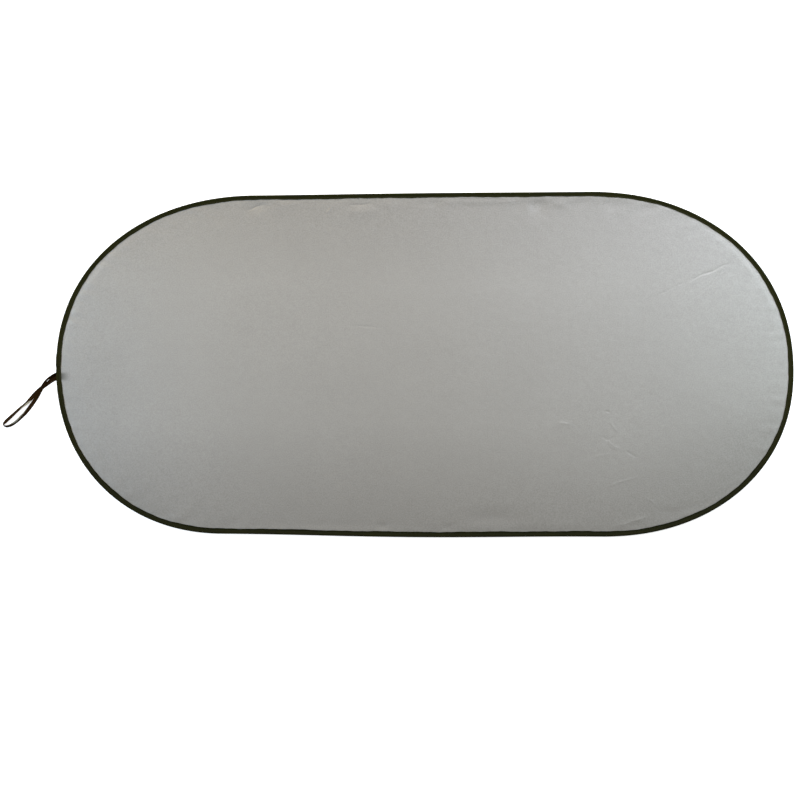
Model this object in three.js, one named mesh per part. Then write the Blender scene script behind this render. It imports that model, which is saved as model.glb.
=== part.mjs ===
import * as THREE from "three";

// A pop-up car sunshade, opened and lying face up: one oval of silver-coated cloth, a hoop of flat
// spring steel that holds it open, a woven tape folded over the rim and sewn through, and an elastic
// loop that keeps the shade shut once it is twisted down into a disc.
// Millimetres. X runs along the shade, Y across it, Z up. The pieces are drawn round the middle of the
// oval, and the last lines put the origin on the floor under the middle of the whole object.

// The oval, measured over the edge tape
const SHADE_LENGTH = 1500;
const SHADE_WIDTH = 702; // at the right ends of the long sides

// Each end is two curves that reach this far along the shade before the straight side begins
const REACH_RIGHT_TOP = 414;
const REACH_LEFT_TOP = 413;
const REACH_LEFT_BOTTOM = 342;
const REACH_RIGHT_BOTTOM = 389;
const CURVE_SQUARENESS = 2.13; // 2 gives quarter ellipses, and more gives fuller corners
const RIGHT_TIP_DROP = 16; // the furthest point of each end lies this far below the middle
const LEFT_TIP_DROP = 7;
const TOP_NARROWING = 7.5; // how far each long side has come in by its left end
const BOTTOM_NARROWING = 6;
const TOP_BOW = 1; // how far each long side swells outwards at its middle
const BOTTOM_BOW = 4;

// Sewn and seated pieces keep this much room between them
const SEAT = 0.3;

// The hoop: flat spring steel standing on edge, its two ends held in a crimped sleeve
const HOOP_HEIGHT = 3;
const HOOP_THICKNESS = 0.8;
const HOOP_END_GAP = 1;
const SLEEVE_LENGTH = 30;
const SLEEVE_WALL = 0.4;
const SLEEVE_CORNER = 0.7;
const SLEEVE_APPROACH = 45; // the hoop moves inwards over this length to enter the sleeve

// The cloth
const CLOTH_THICKNESS = 0.3;
const CLOTH_SAG = 1.4;

// The edge tape, folded round the hoop and laid flat on both faces of the cloth
const TAPE_THICKNESS = 0.6;
const TAPE_FACE = 10.2; // from the rim to each edge of the tape, on average
const TAPE_DRIFT = 1.4; // it is sewn this much off its middle at the top, and as much the other way below
const TAPE_NOSE = 0.7; // how far the fold takes to turn from the rim on to the faces
const TAPE_TAPER = 2.6; // how far it takes to close down from the hoop on to the cloth
const LAP_LENGTH = 25; // where the tape's last end covers its first
const LAP_ABOVE_LOOP = 20;
const LAP_STEP = 0.5;

// The seam: one row of thread on each face
const SEAM_INSET = 7.4;
const THREAD = 0.45;

// The closing loop: flat elastic, both ends sewn under the rim side by side
const LOOP_BELOW_MIDDLE = 25;
const ELASTIC_WIDTH = 8;
const ELASTIC_THICKNESS = 1;
const ELASTIC_SPACING = 0.4; // between the two ends, side by side
const ELASTIC_TAIL = 24; // how far the ends run in under the shade
const RIM_LIFT_RUN = 150; // the rim comes back down to the floor over this length on each side

// How finely the curves are cut
const CURVE_STEPS = 20;
const SIDE_STEPS = 8;
const CLOTH_SIDE_STEPS = 24;
const ELASTIC_STEPS = 104;

// Where the elastic runs once it leaves the rim, from the middle of its two sewn ends: along X, along Y,
// how many degrees it has turned up from flat, on its outer edge, and how far it is off the floor.
const ELASTIC_ROUTE = [
  [-4.5, -5.3, 0, 0], [-9.6, -8.3, 0, 0], [-17.9, -14.2, 0, 0], [-26.6, -20.3, 0, 0],
  [-37.1, -28.9, 0, 0], [-46.7, -38.5, 0, 0], [-51.1, -43.9, 3, 0], [-55.4, -48.6, 12, 0],
  [-60.2, -54, 28, 0], [-65.7, -58.3, 42, 0], [-71.7, -62.9, 44, 0], [-78.6, -68.9, 42, 0],
  [-86.5, -76.3, 38, 0], [-94.8, -83.9, 28, 0], [-101.7, -90.2, 30, 0], [-104.9, -93.7, 34, 0],
  [-106.9, -97.3, 57, 0], [-105.6, -100.4, 64, 0], [-101.2, -101.6, 58, 0], [-94.4, -100, 52, 0],
  [-86.9, -95.8, 47, 0], [-81.2, -91.6, 48, 0], [-76.3, -87.3, 44, 0], [-71, -82, 36, 0],
  [-65.2, -76.4, 32, 0], [-59.6, -69.7, 22, 0], [-53.3, -61.5, 8, 0], [-46.6, -52, 10, 0],
  [-40.9, -43.7, 18, 0.4], [-37.3, -37.9, 24, 0.8], [-34.2, -32, 27, 1.3], [-31.2, -26.8, 30, 1.6],
  [-29, -22.6, 38, 1.7], [-26.8, -18.7, 48, 1.7], [-24.6, -14.6, 56, 1.6], [-21.8, -10.4, 62, 1.3],
  [-17.3, -5.1, 66, 0.3], [-12.6, -2, 57, 0], [-8, 1, 52, 0], [-3.6, 3.2, 43, 0],
];

// Where the cloth puckers beside the tape: which side, where along X, how far it spreads along the rim,
// how high it stands (below zero, how deep it sinks), and how far in from the tape its crest lies.
const PUCKERS = [
  { side: 1, x: -340, spread: 38, rise: 2.2, crest: 15 },
  { side: 1, x: -150, spread: 62, rise: 2.4, crest: 9 },
  { side: 1, x: 22, spread: 26, rise: -1.2, crest: 9 },
  { side: 1, x: 132, spread: 80, rise: 2.6, crest: 15 },
  { side: 1, x: 240, spread: 26, rise: -2, crest: 14 },
  { side: 1, x: 376, spread: 34, rise: 1.3, crest: 20 },
  { side: -1, x: -95, spread: 34, rise: -1.5, crest: 12 },
  { side: -1, x: 120, spread: 84, rise: 2.2, crest: 14 },
];

// Sizes that follow from the ones above
const halfLength = SHADE_LENGTH / 2;
const halfWidth = SHADE_WIDTH / 2;
const sleeveThickness = HOOP_THICKNESS + 2 * (SEAT + SLEEVE_WALL);
const sleeveHeight = HOOP_HEIGHT + 2 * (SEAT + SLEEVE_WALL);
const channelHalf = sleeveHeight / 2 + SEAT;
const channelEnd = TAPE_THICKNESS + SEAT + sleeveThickness - SLEEVE_CORNER + SEAT / 2;
const noseHalf = sleeveHeight / 2 - SLEEVE_CORNER + SEAT / 3;
const flapStart = channelEnd + TAPE_TAPER;
const flapHalf = CLOTH_THICKNESS / 2 + SEAT;
const hoopInset = TAPE_THICKNESS + SEAT;
const hoopInsetInSleeve = hoopInset + SLEEVE_WALL + SEAT;
const clothInset = TAPE_THICKNESS + SEAT + sleeveThickness + SEAT;
const widestFace = TAPE_FACE + TAPE_DRIFT;
const midHeight = channelHalf + TAPE_THICKNESS;
const rimLift = ELASTIC_THICKNESS + SEAT;
const lapStartY = LAP_ABOVE_LOOP - LOOP_BELOW_MIDDLE;
const lapEndY = lapStartY + LAP_LENGTH;

const corners = {
  rightTop: { reach: REACH_RIGHT_TOP, drop: RIGHT_TIP_DROP, narrowing: 0, right: 1, up: 1 },
  leftTop: { reach: REACH_LEFT_TOP, drop: LEFT_TIP_DROP, narrowing: TOP_NARROWING, right: -1, up: 1 },
  leftBottom: {
    reach: REACH_LEFT_BOTTOM,
    drop: LEFT_TIP_DROP,
    narrowing: BOTTOM_NARROWING,
    right: -1,
    up: -1,
  },
  rightBottom: { reach: REACH_RIGHT_BOTTOM, drop: RIGHT_TIP_DROP, narrowing: 0, right: 1, up: -1 },
};

const smooth = (value, from, to) => THREE.MathUtils.smoothstep(value, from, to);

// How far a corner's curve rises from the tip of its end to the long side
function riseOf(corner) {
  return halfWidth - corner.narrowing + corner.up * corner.drop;
}

// A point of the rim on one corner curve: turn is 0 at the tip of the end and a right angle at the side
function cornerStation(corner, turn) {
  const along = Math.cos(turn) ** (2 / CURVE_SQUARENESS);
  const across = Math.sin(turn) ** (2 / CURVE_SQUARENESS);
  const rise = riseOf(corner);
  const outward = new THREE.Vector2(
    (corner.right * along ** (CURVE_SQUARENESS - 1)) / corner.reach,
    (corner.up * across ** (CURVE_SQUARENESS - 1)) / rise,
  ).normalize();
  return {
    x: corner.right * (halfLength - corner.reach * (1 - along)),
    y: corner.up * rise * across - corner.drop,
    inX: -outward.x,
    inY: -outward.y,
    corner,
  };
}

// The turn at which a corner's curve passes a given Y
function turnAt(corner, y) {
  const share = (corner.up * (y + corner.drop)) / riseOf(corner);
  return Math.asin(share ** (CURVE_SQUARENESS / 2));
}

// A point of the rim on a long side, which swells between the ends of its two corner curves
function sideStation(first, last, share) {
  const from = cornerStation(first, Math.PI / 2);
  const to = cornerStation(last, Math.PI / 2);
  const swell = first.up > 0 ? TOP_BOW : -BOTTOM_BOW;
  const climb = to.y - from.y + swell * Math.PI * Math.sin(2 * Math.PI * share);
  const tangent = new THREE.Vector2(to.x - from.x, climb).normalize();
  return {
    x: THREE.MathUtils.lerp(from.x, to.x, share),
    y: THREE.MathUtils.lerp(from.y, to.y, share) + swell * Math.sin(Math.PI * share) ** 2,
    inX: -tangent.y,
    inY: tangent.x,
    onBottom: first.up < 0,
  };
}

// Equal steps from 0 to 1, with both ends left out
function innerSteps(count) {
  return Array.from({ length: count - 1 }, (_, i) => (i + 1) / count);
}

const evenTurns = [0, ...innerSteps(CURVE_STEPS), 1].map((share) => (share * Math.PI) / 2);

// The tape's lap lies on the upper left curve and needs stations of its own at its two ends
const lapTurns = [lapStartY, lapStartY + LAP_STEP, lapEndY - LAP_STEP, lapEndY].map((y) =>
  turnAt(corners.leftTop, y),
);
const leftTopTurns = [...evenTurns, ...lapTurns].sort((a, b) => a - b);

// The rim, counter-clockwise from the right tip up to where the bottom side begins
function rimToBottomSide(sideSteps) {
  const { rightTop, leftTop, leftBottom } = corners;
  return [
    ...evenTurns.map((turn) => cornerStation(rightTop, turn)),
    ...innerSteps(sideSteps).map((share) => sideStation(rightTop, leftTop, share)),
    ...leftTopTurns.toReversed().map((turn) => cornerStation(leftTop, turn)),
    ...evenTurns.slice(1).map((turn) => cornerStation(leftBottom, turn)),
  ];
}

function bottomSide(shares) {
  return shares.map((share) => sideStation(corners.leftBottom, corners.rightBottom, share));
}

// The lower right curve, from the bottom side back to the right tip, which it leaves out
function lastCurve() {
  return evenTurns
    .slice(1)
    .toReversed()
    .map((turn) => cornerStation(corners.rightBottom, turn));
}

function wholeRim(sideSteps) {
  return [...rimToBottomSide(sideSteps), ...bottomSide(innerSteps(sideSteps)), ...lastCurve()];
}

// The rim rides up over the elastic that is sewn under it
function liftAt(x, y, inset) {
  const away = Math.abs(y + LOOP_BELOW_MIDDLE) / RIM_LIFT_RUN;
  if (x > 0 || away > 1) return 0;
  return rimLift * Math.cos((away * Math.PI) / 2) ** 2 * (1 - smooth(inset, widestFace, RIM_LIFT_RUN));
}

// A point at an inset from the rim, and a height above or below the middle of the cloth
function place(station, inset, height) {
  const x = station.x + station.inX * inset;
  const y = station.y + station.inY * inset;
  return new THREE.Vector3(x, y, midHeight + liftAt(x, y, inset) + height);
}

// A solid drawn through rings of points: closed on itself, or capped at its two ends
function loft(rings, closed) {
  const sides = rings[0].length;
  const faces = [];
  const spans = closed ? rings.length : rings.length - 1;
  for (let i = 0; i < spans; i += 1) {
    const next = (i + 1) % rings.length;
    for (let j = 0; j < sides; j += 1) {
      const k = (j + 1) % sides;
      faces.push(i * sides + j, next * sides + j, i * sides + k);
      faces.push(i * sides + k, next * sides + j, next * sides + k);
    }
  }
  if (!closed) {
    const last = (rings.length - 1) * sides;
    for (let j = 1; j < sides - 1; j += 1) {
      faces.push(0, j, j + 1);
      faces.push(last, last + j + 1, last + j);
    }
  }
  const geometry = new THREE.BufferGeometry().setFromPoints(rings.flat());
  return geometry.setIndex(faces);
}

// One wall of the folded tape, from the rim to the tape's edge, as inset and height. At an offset of 0
// it is the side that faces the hoop, and at the tape's thickness it is the side that shows.
function tapeWall(offset, face) {
  const taper = Math.atan2(channelHalf - flapHalf, TAPE_TAPER);
  const nose = Math.atan2(channelHalf - noseHalf, TAPE_NOSE);
  return [
    [TAPE_THICKNESS - offset, noseHalf + offset * Math.tan((Math.PI / 2 - nose) / 2)],
    [TAPE_THICKNESS + TAPE_NOSE - offset * Math.tan(nose / 2), channelHalf + offset],
    [channelEnd + offset * Math.tan(taper / 2), channelHalf + offset],
    [flapStart + offset * Math.tan(taper / 2), flapHalf + offset],
    [face, flapHalf + offset],
  ];
}

function isLapped(station) {
  if (station.corner !== corners.leftTop) return false;
  return station.y > lapStartY + LAP_STEP / 2 && station.y < lapEndY - LAP_STEP / 2;
}

// How thick the tape is at a station, and how far in its edge lies on the upper and the lower face
const tapeAt = (station) => (isLapped(station) ? 2 : 1) * TAPE_THICKNESS;
const upperFace = (station) => TAPE_FACE - (TAPE_DRIFT * station.y) / halfWidth;
const lowerFace = (station) => TAPE_FACE + (TAPE_DRIFT * station.y) / halfWidth;

function edgeTape() {
  const rings = wholeRim(SIDE_STEPS).map((station) => {
    const outside = tapeAt(station);
    const ring = [
      ...tapeWall(outside, lowerFace(station)).toReversed().map(([inset, height]) => [inset, -height]),
      ...tapeWall(outside, upperFace(station)),
      ...tapeWall(0, upperFace(station)).toReversed(),
      ...tapeWall(0, lowerFace(station)).map(([inset, height]) => [inset, -height]),
    ];
    return ring.map(([inset, height]) => place(station, inset, height));
  });
  return loft(rings, true);
}

// The sleeve sits in the middle of the lower side
const sleeveSeat = sideStation(corners.leftBottom, corners.rightBottom, 1 / 2);

// The hoop's inset: against the tape's fold, and further in where the sleeve is round it
function insetOfHoop(station) {
  if (!station.onBottom) return hoopInset;
  const away = Math.abs(station.x - sleeveSeat.x) - SLEEVE_LENGTH / 2;
  const drawnIn = 1 - smooth(away, SEAT, SLEEVE_APPROACH);
  return THREE.MathUtils.lerp(hoopInset, hoopInsetInSleeve, drawnIn);
}

function springHoop() {
  const from = cornerStation(corners.leftBottom, Math.PI / 2).x;
  const to = cornerStation(corners.rightBottom, Math.PI / 2).x;
  const halfSleeve = SLEEVE_LENGTH / 2;
  const away = [
    HOOP_END_GAP / 2,
    halfSleeve + SEAT,
    halfSleeve + SLEEVE_APPROACH / 2,
    halfSleeve + SLEEVE_APPROACH,
  ];
  const nearSleeve = away.map((distance) => distance / (to - from));
  const beyond = innerSteps(SIDE_STEPS).map((share) => share - 1 / 2);
  const shares = [...nearSleeve, ...beyond.filter((share) => share > nearSleeve.at(-1))];
  const stations = [
    ...bottomSide(shares.map((share) => 1 / 2 + share)),
    ...lastCurve(),
    ...rimToBottomSide(SIDE_STEPS),
    ...bottomSide(shares.toReversed().map((share) => 1 / 2 - share)),
  ];
  const half = HOOP_HEIGHT / 2;
  const rings = stations.map((station) => {
    const outer = insetOfHoop(station);
    const inner = outer + HOOP_THICKNESS;
    return [
      place(station, outer, -half),
      place(station, outer, half),
      place(station, inner, half),
      place(station, inner, -half),
    ];
  });
  return loft(rings, false);
}

// The sleeve: a short flat tube with bevelled corners, crimped over the ends of the hoop
function hoopSleeve() {
  const depth = sleeveThickness / 2;
  const rise = sleeveHeight / 2;
  const outline = [
    [-depth, -rise + SLEEVE_CORNER],
    [-depth + SLEEVE_CORNER, -rise],
    [depth - SLEEVE_CORNER, -rise],
    [depth, -rise + SLEEVE_CORNER],
    [depth, rise - SLEEVE_CORNER],
    [depth - SLEEVE_CORNER, rise],
    [-depth + SLEEVE_CORNER, rise],
    [-depth, rise - SLEEVE_CORNER],
  ];
  const tube = new THREE.Shape(outline.map(([x, y]) => new THREE.Vector2(x, y)));
  const slotDepth = depth - SLEEVE_WALL;
  const slotRise = rise - SLEEVE_WALL;
  const slot = [
    [-slotDepth, -slotRise],
    [-slotDepth, slotRise],
    [slotDepth, slotRise],
    [slotDepth, -slotRise],
  ];
  tube.holes.push(new THREE.Path(slot.map(([x, y]) => new THREE.Vector2(x, y))));
  const geometry = new THREE.ExtrudeGeometry(tube, { depth: SLEEVE_LENGTH, bevelEnabled: false });
  return geometry.translate(0, 0, -SLEEVE_LENGTH / 2);
}

// One row of thread, a seat's gap clear of the tape: side is 1 on the upper face and -1 on the lower
function seamThread(side) {
  const rings = wholeRim(SIDE_STEPS).map((station) => {
    const near = flapHalf + tapeAt(station) + SEAT;
    const middle = near + THREAD / 2;
    const half = THREAD / 2;
    return [
      place(station, SEAM_INSET - half, side * middle),
      place(station, SEAM_INSET, side * middle + half),
      place(station, SEAM_INSET + half, side * middle),
      place(station, SEAM_INSET, side * middle - half),
    ];
  });
  return loft(rings, true);
}

// The height of the cloth over its flat middle plane: it sags a little, and puckers beside the tape
function clothHeight(x, y, inset) {
  const clear = Math.max(0, inset - widestFace);
  const middle = 1 - (x / halfLength) ** 2;
  const across = 1 - (y / halfWidth) ** 2;
  const sag = -CLOTH_SAG * Math.max(0, middle * across) * smooth(clear, 0, RIM_LIFT_RUN);
  return PUCKERS.filter((pucker) => pucker.side * y > 0).reduce((height, pucker) => {
    const along = Math.exp(-(((x - pucker.x) / pucker.spread) ** 2));
    const inwards = clear / pucker.crest;
    return height + pucker.rise * along * inwards * Math.exp(1 - inwards);
  }, sag);
}

// The cloth: rings of points stepping in from its edge, then rings shrunk towards the middle
function clothPanel() {
  const stations = wholeRim(CLOTH_SIDE_STEPS);
  const insets = [clothInset, ...[0, 7, 16, 32, 60].map((step) => widestFace + step)];
  const lastInset = insets.at(-1);
  const shrinks = [0.7, 0.35];
  const flatRings = [
    ...insets.map((inset) => stations.map((station) => [place(station, inset, 0), inset])),
    ...shrinks.map((shrink) =>
      stations.map((station) => {
        const point = place(station, lastInset, 0).multiply(new THREE.Vector3(shrink, shrink, 0));
        point.z = midHeight;
        return [point, halfWidth * (1 - shrink) + lastInset * shrink];
      }),
    ),
  ];
  const middle = [[new THREE.Vector3(0, 0, midHeight), halfWidth]];
  const level = (side) =>
    [...flatRings.flat(), ...middle].map(([point, inset]) => {
      const height = clothHeight(point.x, point.y, inset) + (side * CLOTH_THICKNESS) / 2;
      return new THREE.Vector3(point.x, point.y, point.z + height);
    });
  const points = [...level(1), ...level(-1)];
  const count = stations.length;
  const under = points.length / 2;
  const centre = under - 1;
  const faces = [];
  for (let j = 0; j < count; j += 1) {
    const k = (j + 1) % count;
    for (let ring = 0; ring < flatRings.length - 1; ring += 1) {
      const outer = ring * count;
      const inner = outer + count;
      faces.push(outer + j, outer + k, inner + k, outer + j, inner + k, inner + j);
      faces.push(under + outer + j, under + inner + k, under + outer + k);
      faces.push(under + outer + j, under + inner + j, under + inner + k);
    }
    const last = (flatRings.length - 1) * count;
    faces.push(last + j, last + k, centre);
    faces.push(under + last + j, under + centre, under + last + k);
    faces.push(j, under + j, under + k, j, under + k, k);
  }
  return new THREE.BufferGeometry().setFromPoints(points).setIndex(faces);
}

// Where the elastic leaves the rim
const loopRoot = cornerStation(corners.leftBottom, turnAt(corners.leftBottom, -LOOP_BELOW_MIDDLE));

// The middle of the elastic is this high when its lower edge rests on the floor
const standing = (turn) =>
  (ELASTIC_WIDTH * Math.abs(Math.sin(turn)) + ELASTIC_THICKNESS * Math.abs(Math.cos(turn))) / 2;

// The two sewn ends lie flat under the rim, then rise along the underside of the seam and of the cloth
function tailStops(side) {
  const aside = side * (ELASTIC_WIDTH + ELASTIC_SPACING) * 0.5;
  const underCloth = midHeight + rimLift - CLOTH_THICKNESS / 2 - 2 * SEAT - ELASTIC_THICKNESS;
  const underSeam = underCloth - TAPE_THICKNESS - THREAD - SEAT;
  const tail = [
    [ELASTIC_TAIL, underCloth],
    [widestFace + 4 * ELASTIC_THICKNESS, underCloth],
    [widestFace, underSeam],
    [flapStart + 2 * ELASTIC_THICKNESS, underSeam],
    [channelEnd + ELASTIC_THICKNESS, SEAT / 3],
    [0, 0],
  ];
  return tail.map(([inset, raised]) => [inset, aside, 0, raised]);
}

// The elastic: one flat band that lies flat as it leaves the rim, stands up on its edge to turn back, and
// comes home over its own first stretch
function closingLoop() {
  const stops = [...tailStops(-1), ...ELASTIC_ROUTE, ...tailStops(1).toReversed()];
  const line = new THREE.CatmullRomCurve3(
    stops.map(([x, y, , raised]) => new THREE.Vector3(loopRoot.x + x, loopRoot.y + y, raised)),
  );
  const turns = new THREE.CatmullRomCurve3(
    stops.map(([, , degrees]) => new THREE.Vector3(THREE.MathUtils.degToRad(degrees), 0, 0)),
  );
  const up = new THREE.Vector3(0, 0, 1);
  const rings = [0, ...innerSteps(ELASTIC_STEPS), 1].map((share) => {
    const turn = Math.max(0, turns.getPoint(share).x);
    const point = line.getPoint(share);
    point.z = Math.max(0, point.z) + standing(turn);
    const ahead = line.getTangent(share);
    const left = new THREE.Vector3().crossVectors(up, ahead).normalize();
    const across = left.applyAxisAngle(ahead, turn);
    const through = new THREE.Vector3().crossVectors(ahead, across);
    const corner = (a, b) =>
      point
        .clone()
        .addScaledVector(across, (a * ELASTIC_WIDTH) / 2)
        .addScaledVector(through, (b * ELASTIC_THICKNESS) / 2);
    return [corner(-1, -1), corner(-1, 1), corner(1, 1), corner(1, -1)];
  });
  return loft(rings, false);
}

const cloth = new THREE.MeshStandardMaterial({ color: 0xa6a7a4, roughness: 0.55, metalness: 0.35 });
const tape = new THREE.MeshStandardMaterial({ color: 0x2a2a1e, roughness: 0.9, metalness: 0 });
const steel = new THREE.MeshStandardMaterial({ color: 0x8b8f94, roughness: 0.35, metalness: 1 });
const crimp = new THREE.MeshStandardMaterial({ color: 0xb0b2b4, roughness: 0.4, metalness: 1 });
const thread = new THREE.MeshStandardMaterial({ color: 0x1c1c16, roughness: 0.8, metalness: 0 });
const elastic = new THREE.MeshStandardMaterial({ color: 0x2c1c0a, roughness: 0.85, metalness: 0 });

function named(name, geometry, material) {
  const mesh = new THREE.Mesh(geometry, material);
  mesh.name = name;
  return mesh;
}

const shade = new THREE.Group();
shade.add(
  named("cloth_panel", clothPanel(), cloth),
  named("edge_tape", edgeTape(), tape),
  named("spring_hoop", springHoop(), steel),
  named("seam_thread_front", seamThread(1), thread),
  named("seam_thread_back", seamThread(-1), thread),
  named("closing_loop", closingLoop(), elastic),
);

// The sleeve's tube lies along the lower side
const sleeve = named("hoop_sleeve", hoopSleeve(), crimp);
sleeve.rotation.set(Math.PI / 2, Math.PI / 2, 0);
sleeve.rotateOnWorldAxis(new THREE.Vector3(0, 0, 1), Math.atan2(-sleeveSeat.inX, sleeveSeat.inY));
sleeve.position.copy(place(sleeveSeat, hoopInset + sleeveThickness / 2, 0));
shade.add(sleeve);

// Set the whole object down with the origin under its middle
const bounds = new THREE.Box3().setFromObject(shade);
const middle = bounds.getCenter(new THREE.Vector3());
shade.position.set(-middle.x, -middle.y, -bounds.min.z);

const sunshade = new THREE.Group();
sunshade.add(shade);

export default sunshade;
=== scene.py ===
import math

import bpy
import numpy as np
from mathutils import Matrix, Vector


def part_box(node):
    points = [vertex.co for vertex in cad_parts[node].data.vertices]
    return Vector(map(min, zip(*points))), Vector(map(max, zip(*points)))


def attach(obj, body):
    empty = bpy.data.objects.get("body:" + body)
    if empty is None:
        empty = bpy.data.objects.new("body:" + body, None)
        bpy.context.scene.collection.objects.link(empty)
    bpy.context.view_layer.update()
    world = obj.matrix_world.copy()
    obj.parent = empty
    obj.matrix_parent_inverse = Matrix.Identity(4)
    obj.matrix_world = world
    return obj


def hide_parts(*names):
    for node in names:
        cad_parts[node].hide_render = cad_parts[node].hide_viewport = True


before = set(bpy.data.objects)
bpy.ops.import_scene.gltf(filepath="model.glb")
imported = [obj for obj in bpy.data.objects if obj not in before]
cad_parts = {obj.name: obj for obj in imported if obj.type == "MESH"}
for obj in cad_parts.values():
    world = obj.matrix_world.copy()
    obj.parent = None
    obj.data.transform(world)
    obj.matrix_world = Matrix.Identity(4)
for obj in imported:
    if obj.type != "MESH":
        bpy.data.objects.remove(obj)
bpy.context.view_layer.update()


# The spring hoop: one strip of flat spring steel standing on edge inside the rim, oil-tempered to a dull
# blue grey. It was rolled flat and cut to length, and its own springiness keeps the shade open.

class Wire:
    """One output of a shader node, which Python's own operators do arithmetic on."""

    def __init__(self, tree, socket=None):
        self.tree = tree
        self.socket = socket

    def node(self, kind, settings=(), sockets=(), output=0):
        """Adds a node, with its settings first and then the values or links of its sockets."""
        made = self.tree.nodes.new("ShaderNode" + kind)
        for key, value in dict(settings).items():
            if key == "stops":
                ramp = made.color_ramp.elements
                while len(ramp) < len(value):
                    ramp.new(1.0)
                for stop, (position, colour) in zip(ramp, value):
                    stop.position = position
                    stop.color = (*colour, 1.0)
            else:
                setattr(made, key, value)
        for key, value in dict(sockets).items():
            if isinstance(value, Wire):
                self.tree.links.new(value.socket, made.inputs[key])
            else:
                made.inputs[key].default_value = value
        return Wire(self.tree, made.outputs[output])

    def math(self, operation, *values):
        return self.node("Math", {"operation": operation}, dict(enumerate(values)))

    def parts(self):
        """The first two parts of a vector: X and Y of a place, or U and V."""
        split = self.tree.nodes.new("ShaderNodeSeparateXYZ")
        self.tree.links.new(self.socket, split.inputs[0])
        return Wire(self.tree, split.outputs[0]), Wire(self.tree, split.outputs[1])

    def at_least(self, low):
        return self.math("MAXIMUM", self, low)

    def at_most(self, high):
        return self.math("MINIMUM", self, high)

    def __add__(self, other):
        return self.math("ADD", self, other)

    def __sub__(self, other):
        return self.math("SUBTRACT", self, other)

    def __mul__(self, other):
        return self.math("MULTIPLY", self, other)

    def __truediv__(self, other):
        return self.math("DIVIDE", self, other)

    def __pow__(self, other):
        return self.math("POWER", self, other)

    def __rsub__(self, other):
        return self.math("SUBTRACT", other, self)

    def __rpow__(self, other):
        return self.math("POWER", other, self)


def new_finish(name, sockets):
    """A material, its shader with the sockets that are the same all over, and a Wire to start from."""
    finish = bpy.data.materials.new(name)
    finish.use_nodes = True
    shader = finish.node_tree.nodes["Principled BSDF"]
    for key, value in sockets.items():
        shader.inputs[key].default_value = value
    return finish, shader, Wire(finish.node_tree)


def feed(shader, socket, wire):
    wire.tree.links.new(wire.socket, shader.inputs[socket])


# The numbers of a Mix node's sockets when it blends colours
MIX_SHARE, MIX_LOW, MIX_HIGH = 0, 6, 7


def mixed(start, share, low, high):
    """A colour between two colours or wires, by a share from 0 to 1."""
    low, high = [end if isinstance(end, Wire) else (*end, 1.0) for end in (low, high)]
    sockets = {MIX_SHARE: share, MIX_LOW: low, MIX_HIGH: high}
    return start.node("Mix", {"data_type": "RGBA"}, sockets, output=2)


def finish_node(name, finish):
    """Gives a piece that keeps its own solid its finish."""
    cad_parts[name].data.materials.clear()
    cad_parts[name].data.materials.append(finish)


steel, steel_shader, start = new_finish("tempered_spring_steel", {"Metallic": 1.0, "Roughness": 0.35})
steel_spot = start.node("TexCoord", output=3)
rolling = start.node("TexNoise", {}, {"Vector": steel_spot, "Scale": 900.0, "Detail": 3.0})
temper = start.node("TexNoise", {}, {"Vector": steel_spot, "Scale": 14.0, "Detail": 2.0})
feed(steel_shader, "Base Color", mixed(start, temper, (0.20, 0.22, 0.27), (0.42, 0.42, 0.43)))
feed(steel_shader, "Roughness", rolling * 0.25 + 0.25)
feed(steel_shader, "Normal", start.node("Bump", {}, {"Height": rolling * 0.00002, "Distance": 1.0}))
finish_node("spring_hoop", steel)


# The sleeve: a short tube of soft zinc-plated steel, slid over both ends of the hoop in the middle of
# the lower side and crimped flat on to them.

zinc, zinc_shader, start = new_finish("zinc_plated_sleeve", {"Metallic": 1.0, "Roughness": 0.4})
zinc_spot = start.node("TexCoord", output=3)
spangle = start.node("TexVoronoi", {}, {"Vector": zinc_spot, "Scale": 700.0})
feed(zinc_shader, "Base Color", mixed(start, spangle, (0.52, 0.53, 0.54), (0.68, 0.68, 0.66)))
feed(zinc_shader, "Roughness", spangle * 0.3 + 0.3)
finish_node("hoop_sleeve", zinc)


# The panel: one oval of thin plain-woven polyester, silver-coated on the face that shows and left pale
# grey on the back. It is cut a little smaller than the rim, its edge is caught between the two faces of
# the tape, the hoop stretches it, and the seam draws it into small puckers.

SHADE_LENGTH = 1.500
SHADE_WIDTH = 0.702
CURVE_SQUARENESS = 2.13
RIGHT_TIP_DROP = 0.016
LEFT_TIP_DROP = 0.007
TOP_NARROWING = 0.0075
BOTTOM_NARROWING = 0.006
TOP_BOW = 0.001
BOTTOM_BOW = 0.004
REACH = {"right_top": 0.414, "left_top": 0.413, "left_bottom": 0.342, "right_bottom": 0.389}
RIM_HEIGHT = 0.0062
RIM_LIFT = 0.0013
RIM_LIFT_RUN = 0.150
LOOP_BELOW_MIDDLE = 0.025
PANEL_INSET = 0.0036
PANEL_THICKNESS = 0.00025
PANEL_COLUMNS = 288
PANEL_ROWS = 132
PANEL_SHOWS = 0.0116
PANEL_END_SHARE = 0.155
PANEL_SAG = 0.0012
PUCKER_RISE = 0.00022
PUCKER_RUN = 0.009
SETTLE_RUN = 0.012


def end_curve(reach, drop, narrowing, right, up):
    """A quarter of the rim, from the tip of one end to a long side."""
    turn = np.linspace(0.0, math.pi / 2, 500)
    along = np.abs(np.cos(turn)) ** (2 / CURVE_SQUARENESS)
    across = np.sin(turn) ** (2 / CURVE_SQUARENESS)
    rise = SHADE_WIDTH / 2 - narrowing + up * drop
    x = right * (SHADE_LENGTH / 2 - reach * (1 - along))
    return np.stack([x, up * rise * across - drop], axis=1)


def long_side(first, last, swell):
    """A long side of the rim, between the ends of two end curves."""
    share = np.linspace(0.0, 1.0, 400)[1:-1, None]
    side = first + (last - first) * share
    side[:, 1] += swell * np.sin(math.pi * share[:, 0]) ** 2
    return side


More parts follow.
